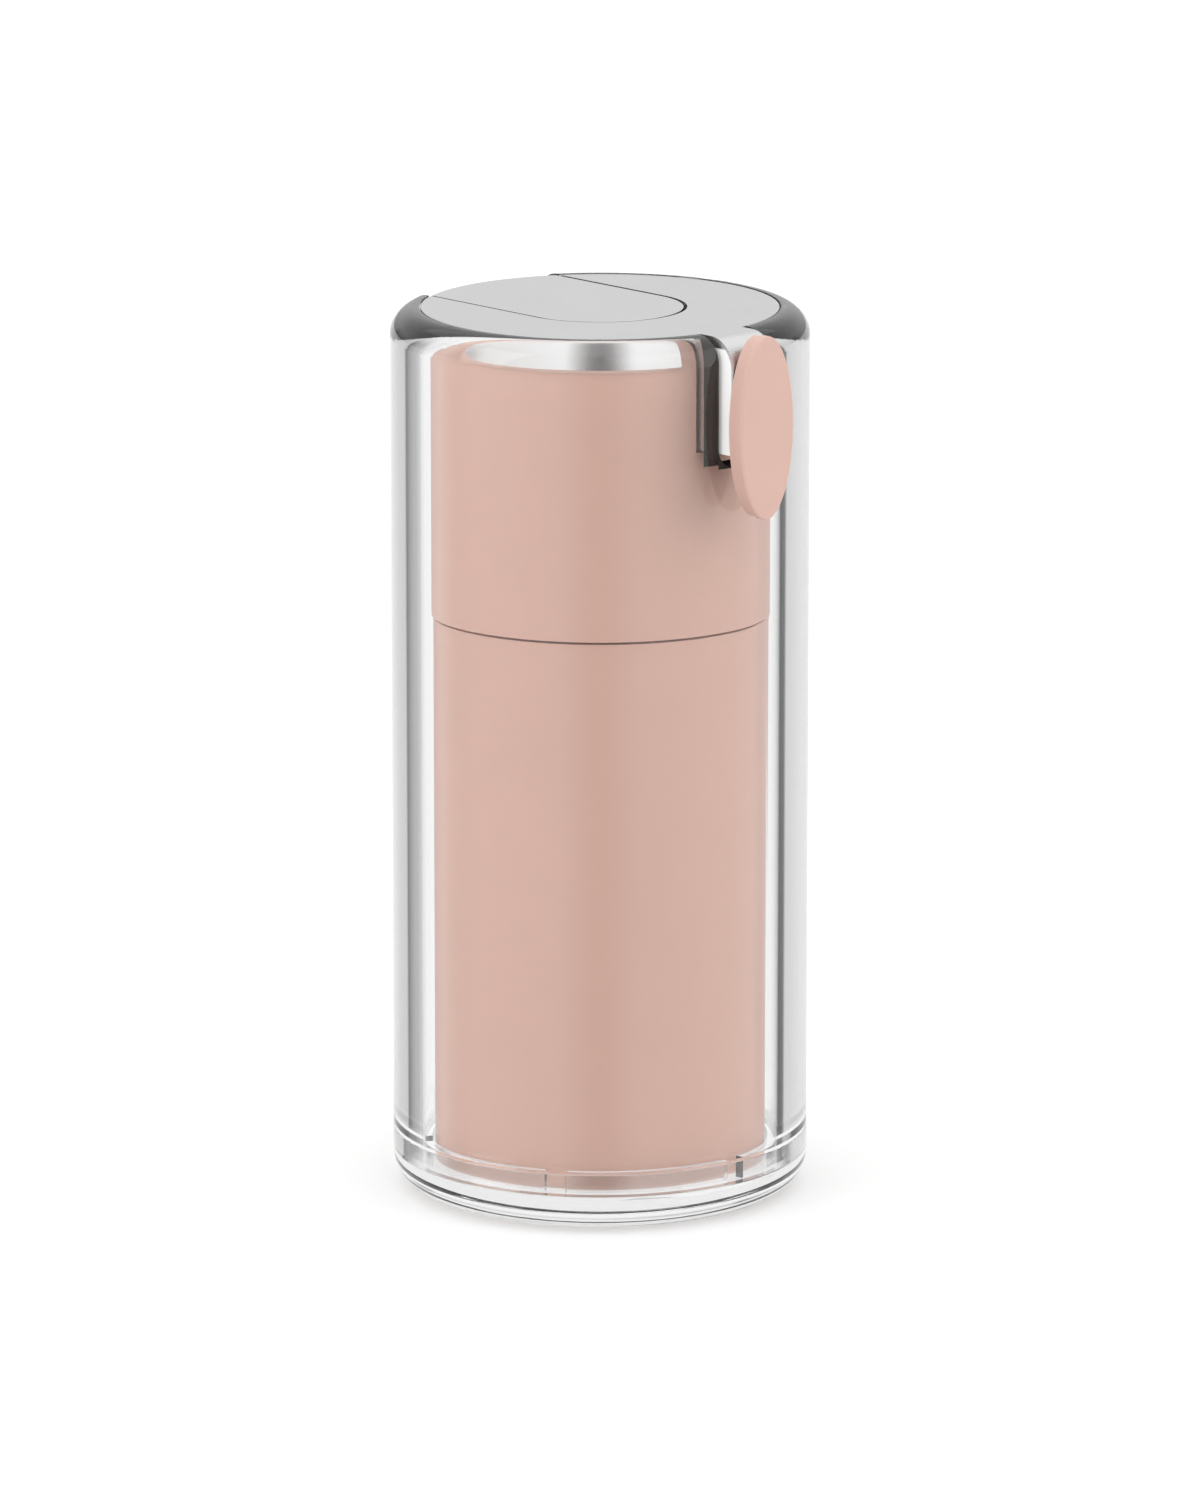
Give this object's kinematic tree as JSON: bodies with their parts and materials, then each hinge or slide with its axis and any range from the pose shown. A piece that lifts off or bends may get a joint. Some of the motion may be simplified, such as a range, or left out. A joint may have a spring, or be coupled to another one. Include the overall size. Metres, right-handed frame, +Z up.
{
  "type": "airless pump bottle",
  "caption": "Refillable airless pump bottle: a pink inner bottle and pump in a thick clear shell, with a press pad in its flat silver top and an oval side spout.",
  "frame": {"origin": "middle of the base's flat underside", "axes": "+Z up along the bottle's axis, spout towards -Y, finger notch towards +Y"},
  "size_m": [0.046, 0.0497, 0.0993],
  "materials": {
    "clear_plastic": "clear",
    "pink_plastic": "satin",
    "satin_silver": "satin",
    "bright_silver": "polished",
    "white_plastic": "natural",
    "seal_rubber": "matt",
    "steel": "plain"
  },
  "bodies": {
    "shell": {"outer_shell": "clear_plastic", "base_cup": "clear_plastic"},
    "cartridge": {"inner_bottle": "pink_plastic", "bottle_base_plug": "white_plastic", "pump_collar": "pink_plastic", "neck_gasket": "seal_rubber", "pump_body": "white_plastic", "inlet_seat": "white_plastic", "inlet_cage": "white_plastic", "rod_guide": "white_plastic", "return_spring": "steel", "outlet_elbow": "white_plastic", "spout_seal": "seal_rubber", "head_frame": "white_plastic", "trim_ring": "bright_silver", "top_plate": "satin_silver", "spout_back_plate": "pink_plastic", "spout_front_cover": "pink_plastic"},
    "plunger": {"press_pad": "satin_silver", "pad_carrier": "white_plastic", "piston_rod": "white_plastic", "pump_piston": "white_plastic"},
    "follower": {"follower_piston": "white_plastic"},
    "inlet_valve": {"inlet_ball": "steel"},
    "outlet_valve": {"outlet_ball": "steel"}
  },
  "joints": [
    {"name": "cartridge_lift", "type": "slide", "parent": "shell", "child": "cartridge", "axis": [0, 0, 1], "range_m": [0, 0.105]},
    {"name": "pad_press", "type": "slide", "parent": "cartridge", "child": "plunger", "axis": [0, 0, -1], "range_m": [0, 0.0035], "stiffness_N_per_m": 800, "springref_m": -0.004, "deforming": ["return_spring"]},
    {"name": "follower_rise", "type": "slide", "parent": "cartridge", "child": "follower", "axis": [0, 0, 1], "range_m": [0, 0.0418]},
    {"name": "inlet_ball_lift", "type": "slide", "parent": "cartridge", "child": "inlet_valve", "axis": [0, 0, 1], "range_m": [0, 0.0008]},
    {"name": "outlet_ball_lift", "type": "slide", "parent": "cartridge", "child": "outlet_valve", "axis": [0, 0, 1], "range_m": [0, 0.0009]}
  ]
}
